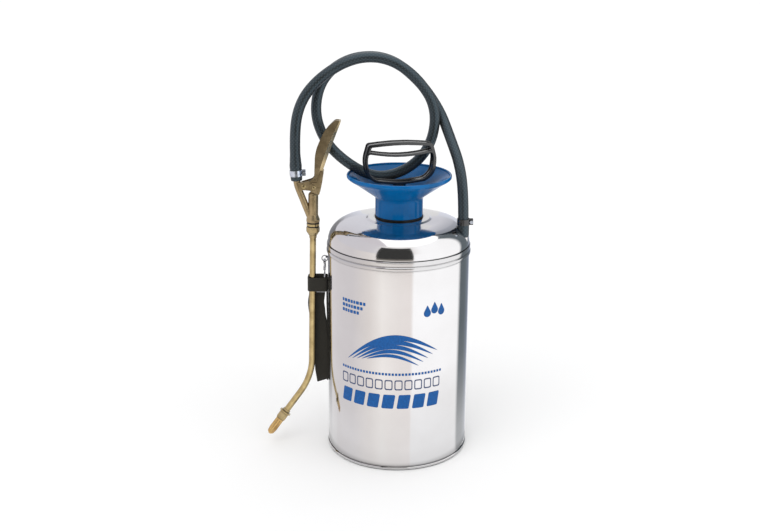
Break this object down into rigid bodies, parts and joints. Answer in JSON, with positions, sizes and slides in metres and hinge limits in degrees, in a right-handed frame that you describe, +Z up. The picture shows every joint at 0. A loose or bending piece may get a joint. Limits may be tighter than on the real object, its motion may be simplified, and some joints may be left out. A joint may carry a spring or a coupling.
{
  "type": "pump sprayer",
  "caption": "Polished steel compression sprayer with a plunger pump, filling funnel, looped hose, brass squeeze valve, bent wand with adjustable nozzle, and folded strap.",
  "frame": {"origin": "on the tank's axis, on the flat face that the tank stands on", "axes": "+Z up along the tank's axis, +X towards the side that the hose leaves from, -Y towards the side that the valve's lever shows its flat cheek to"},
  "size_m": [0.2914, 0.2036, 0.5669],
  "materials": {
    "steel": "polished stainless",
    "dull_steel": "bright zinc",
    "blue_plastic": "glossy",
    "black_plastic": "semi-gloss",
    "white_plastic": "matte",
    "black_rubber": "matte",
    "hose_rubber": "fine weave under a smooth skin",
    "brass": "satin",
    "webbing": "woven"
  },
  "bodies": {
    "tank": {"tank_foot": "steel", "tank_bottom": "steel", "tank_shell": "steel", "seam_band": "steel", "tank_dome": "steel", "mouth_collar": "steel", "neck_gasket": "black_rubber", "funnel": "blue_plastic", "outlet_fitting": "steel", "dip_tube": "white_plastic", "dip_strainer": "white_plastic", "tank_clamp": "black_plastic", "tank_clamp_screw": "dull_steel", "hose": "hose_rubber", "valve_clamp": "dull_steel", "valve_clamp_screw": "dull_steel", "valve_body": "brass", "valve_seat": "brass", "seat_washer": "black_rubber", "stem_packing": "black_rubber", "stem_spring": "dull_steel", "fulcrum_pin": "brass", "wand_nut": "brass", "wand_packing": "black_rubber", "strap_eye": "dull_steel", "strap_ring": "dull_steel", "snap_hook": "dull_steel", "gate_pin": "dull_steel", "hook_swivel": "dull_steel", "strap_wrap": "webbing", "strap_bundle": "webbing", "strap_slide": "dull_steel"},
    "pump": {"pump_gasket": "black_rubber", "pump_cap": "black_plastic", "pump_barrel": "white_plastic", "rod_guide": "black_plastic", "foot_valve_seat": "white_plastic", "foot_valve_cage": "black_plastic"},
    "plunger": {"pump_rod": "dull_steel", "piston_cup": "black_rubber", "piston_top_disc": "white_plastic", "piston_bottom_disc": "white_plastic", "piston_nut": "dull_steel", "pump_handle": "black_plastic", "handle_pin": "dull_steel"},
    "check_flap": {"check_valve": "black_rubber"},
    "stem": {"valve_stem": "brass", "stem_seal": "black_rubber", "link_pin": "brass"},
    "lever": {"lever": "brass"},
    "latch": {"lock_latch": "brass"},
    "wand": {"wand_collar": "brass", "wand_tube": "brass", "nozzle_body": "brass", "nozzle_oring": "black_rubber", "nozzle_core": "brass"},
    "tip": {"nozzle_tip": "brass"},
    "gate": {"hook_gate": "dull_steel"}
  },
  "joints": [
    {"name": "pump_turn", "type": "hinge", "parent": "tank", "child": "pump", "pos_m": [0, 0, 0.37], "axis": [0, 0, 1], "range_deg": [-6, 6]},
    {"name": "pump_stroke", "type": "slide", "parent": "pump", "child": "plunger", "axis": [0, 0, 1], "range_m": [0, 0.18]},
    {"name": "check_valve_lift", "type": "slide", "parent": "pump", "child": "check_flap", "axis": [0, 0, -1], "range_m": [0, 0.0019], "stiffness_N_per_m": 30, "springref_m": -0.002},
    {"name": "lever_squeeze", "type": "hinge", "parent": "tank", "child": "lever", "pos_m": [-0.13345, 0.005, 0.38181], "axis": [0, -1, 0], "range_deg": [0, 16], "stiffness_Nm_per_rad": 0.5, "springref_deg": -20.05},
    {"name": "stem_slide", "type": "slide", "parent": "tank", "child": "stem", "axis": [0.0166, 0, 0.9999], "range_m": [0, 0.004], "stiffness_N_per_m": 60, "springref_m": -0.004, "deforming": ["stem_spring"]},
    {"name": "latch_swing", "type": "hinge", "parent": "stem", "child": "latch", "pos_m": [-0.11917, 0.005, 0.38067], "axis": [0, 1, 0], "range_deg": [0, 35]},
    {"name": "wand_swivel", "type": "hinge", "parent": "tank", "child": "wand", "pos_m": [-0.12138, 0.005, 0.3194], "axis": [0.0166, 0, 0.9999], "range_deg": [-30, 90]},
    {"name": "nozzle_turn", "type": "hinge", "parent": "wand", "child": "tip", "pos_m": [-0.16297, -0.00848, 0.04462], "axis": [-0.5915, -0.2106, -0.7783], "range_deg": [0, 360]},
    {"name": "hook_gate_swing", "type": "hinge", "parent": "tank", "child": "gate", "pos_m": [-0.1053, 0.00155, 0.2633], "axis": [-1, 0, 0], "range_deg": [0, 30], "stiffness_Nm_per_rad": 0.004, "springref_deg": -28.65}
  ],
  "couplings": [
    {"joint": "stem_slide", "follows": "lever_squeeze", "m_per_rad": 0.014217}
  ]
}
